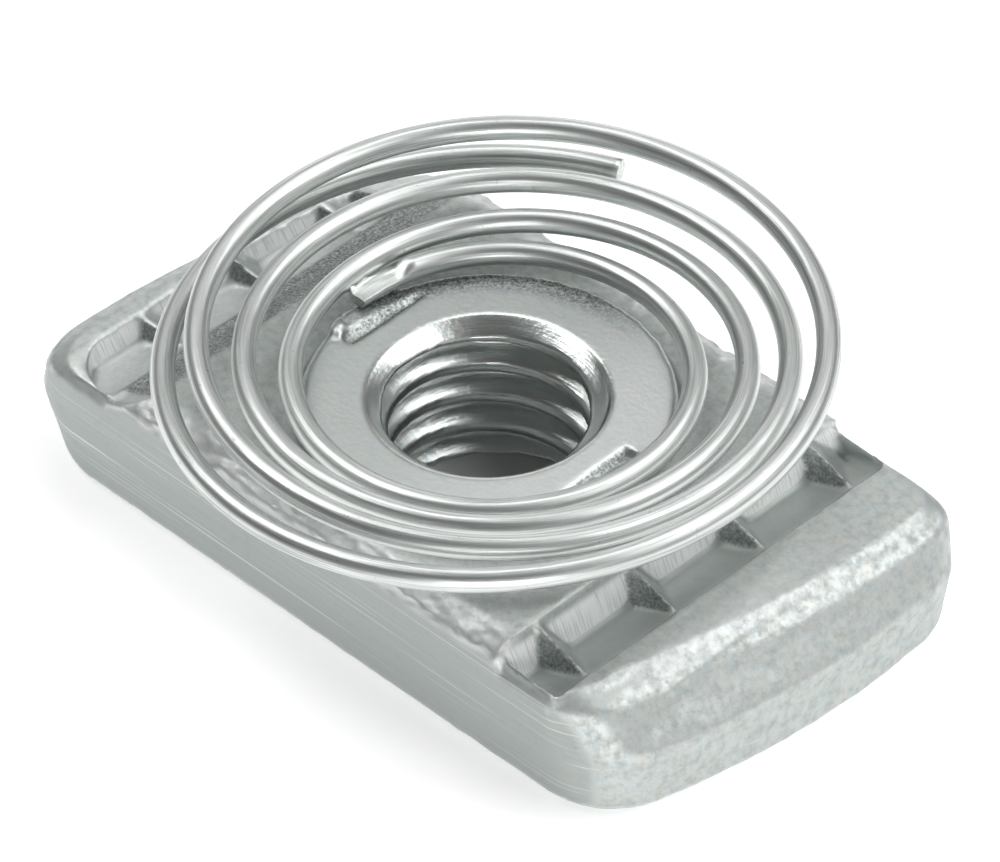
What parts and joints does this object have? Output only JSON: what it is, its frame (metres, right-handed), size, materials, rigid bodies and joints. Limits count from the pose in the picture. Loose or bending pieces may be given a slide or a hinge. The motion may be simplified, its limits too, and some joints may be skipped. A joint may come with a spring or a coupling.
{
  "type": "strut spring nut",
  "caption": "Zinc plated steel channel nut with toothed lip grooves, a tapped bore in a round boss, and a conical wire spring staked round the boss.",
  "frame": {"origin": "on the thread axis, in the nut's flat bottom face", "axes": "+Z along the thread axis out through the boss and the spring, +X along the nut's length, +Y across its width"},
  "size_m": [0.035, 0.0266, 0.0106],
  "materials": {
    "zinc_nut": "bright zinc electroplate over forged steel, satin",
    "zinc_wire": "bright zinc electroplate over drawn spring wire"
  },
  "bodies": {
    "root": {"nut_body": "zinc_nut", "cone_spring": "zinc_wire"}
  },
  "joints": []
}
